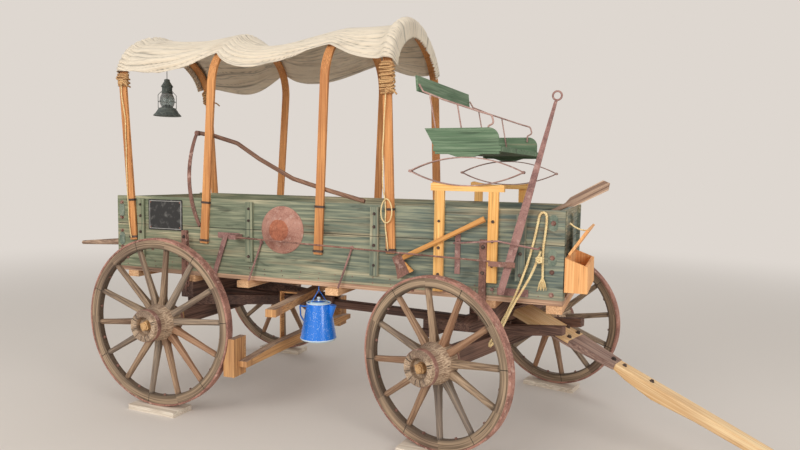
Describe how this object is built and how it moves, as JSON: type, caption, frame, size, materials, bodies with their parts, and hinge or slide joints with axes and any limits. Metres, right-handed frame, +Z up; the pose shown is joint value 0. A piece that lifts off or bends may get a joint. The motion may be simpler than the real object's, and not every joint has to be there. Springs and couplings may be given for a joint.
{
  "type": "covered wagon",
  "caption": "Wooden farm wagon with a plank box, bent bows under a cotton cover, a sprung seat, a steered front gear, a tongue on the floor and kit hung on its side.",
  "frame": {"origin": "on the floor, under the middle of the bounding box", "axes": "+X forwards, the way the box points, +Y to its left, +Z up"},
  "size_m": [5.6569, 2.119, 2.8832],
  "materials": {
    "blue_enamel": "glossy speckled enamel, chipped",
    "bow_wood": "bent strips",
    "brown_wood": "old stained wood",
    "cotton": "matt cotton duck",
    "dark_iron": "forged, dark",
    "green_paint": "boards under worn grey-green paint",
    "grey_wood": "weathered",
    "new_wood": "freshly sawn",
    "red_wood": "worn dark red stain",
    "rope": "twisted fibre",
    "rusty_iron": "rusty, worn bright at the tread",
    "sign": "blank board, painted black"
  },
  "bodies": {
    "wagon": {"axe": "dark_iron", "bed_floor": "grey_wood", "bow_1": "bow_wood", "bow_2": "bow_wood", "bow_3": "bow_wood", "bow_4": "bow_wood", "bow_cord": "rope", "bow_lashings": "rope", "bow_staples": "dark_iron", "brake_beams": "new_wood", "brake_lever": "rusty_iron", "brake_rod": "dark_iron", "canvas_cover": "cotton", "coffee_pot": "blue_enamel", "cross_sills": "new_wood", "front_board": "green_paint", "front_bolster": "brown_wood", "jockey_box": "new_wood", "king_pin": "dark_iron", "lantern": "dark_iron", "paddle": "grey_wood", "pan": "rusty_iron", "reach": "brown_wood", "rear_axle": "brown_wood", "rear_bolster": "brown_wood", "rear_cord": "rope", "rear_hounds": "brown_wood", "scythe": "dark_iron", "seat_back": "green_paint", "seat_irons": "dark_iron", "seat_risers": "new_wood", "seat_springs": "dark_iron", "seat_tray": "green_paint", "side_battens": "green_paint", "side_irons": "rusty_iron", "side_left": "green_paint", "side_right": "green_paint", "side_rope": "rope", "sign_plate": "sign", "tail_pole": "grey_wood", "wheel_boards": "grey_wood"},
    "front_gear": {"front_axle": "brown_wood", "sand_bolster": "brown_wood", "front_hounds": "brown_wood"},
    "tongue": {"tongue_middle": "red_wood", "tongue_pole": "new_wood"},
    "tail_gate": {"tail_gate": "green_paint"},
    "jockey_lid": {"jockey_lid": "new_wood"},
    "wheel_front_right": {"wheel_front_right_hub": "grey_wood", "wheel_front_right_spokes": "grey_wood", "wheel_front_right_tyre": "rusty_iron"},
    "wheel_front_left": {"wheel_front_left_hub": "grey_wood", "wheel_front_left_spokes": "grey_wood", "wheel_front_left_tyre": "rusty_iron"},
    "wheel_rear_right": {"wheel_rear_right_hub": "grey_wood", "wheel_rear_right_spokes": "grey_wood", "wheel_rear_right_tyre": "rusty_iron"},
    "wheel_rear_left": {"wheel_rear_left_hub": "grey_wood", "wheel_rear_left_spokes": "grey_wood", "wheel_rear_left_tyre": "rusty_iron"}
  },
  "joints": [
    {"name": "steering", "type": "hinge", "parent": "wagon", "child": "front_gear", "pos_m": [0.717, 0, 0.7], "axis": [0, 0, 1], "range_deg": [-7.6, 42.4]},
    {"name": "tongue_lift", "type": "hinge", "parent": "front_gear", "child": "tongue", "pos_m": [1.07484, -0.11214, 0.7365], "axis": [-0.299, -0.9542, 0], "range_deg": [0, 35]},
    {"name": "front_right_wheel", "type": "hinge", "parent": "front_gear", "child": "wheel_front_right", "pos_m": [0.45011, -0.85166, 0.5973], "axis": [0.299, 0.9542, 0], "continuous": true},
    {"name": "front_left_wheel", "type": "hinge", "parent": "front_gear", "child": "wheel_front_left", "pos_m": [0.98389, 0.85166, 0.5973], "axis": [0.299, 0.9542, 0], "continuous": true},
    {"name": "rear_right_wheel", "type": "hinge", "parent": "wagon", "child": "wheel_rear_right", "pos_m": [-1.673, -0.8925, 0.6643], "axis": [0, 1, 0], "continuous": true},
    {"name": "rear_left_wheel", "type": "hinge", "parent": "wagon", "child": "wheel_rear_left", "pos_m": [-1.673, 0.8925, 0.6643], "axis": [0, 1, 0], "continuous": true},
    {"name": "box_lid", "type": "hinge", "parent": "wagon", "child": "jockey_lid", "pos_m": [1.217, -0.237, 1.287], "axis": [0, 1, 0], "range_deg": [-30, 72]},
    {"name": "end_gate", "type": "slide", "parent": "wagon", "child": "tail_gate", "axis": [0, 0, 1], "range_m": [0, 0.4]}
  ]
}
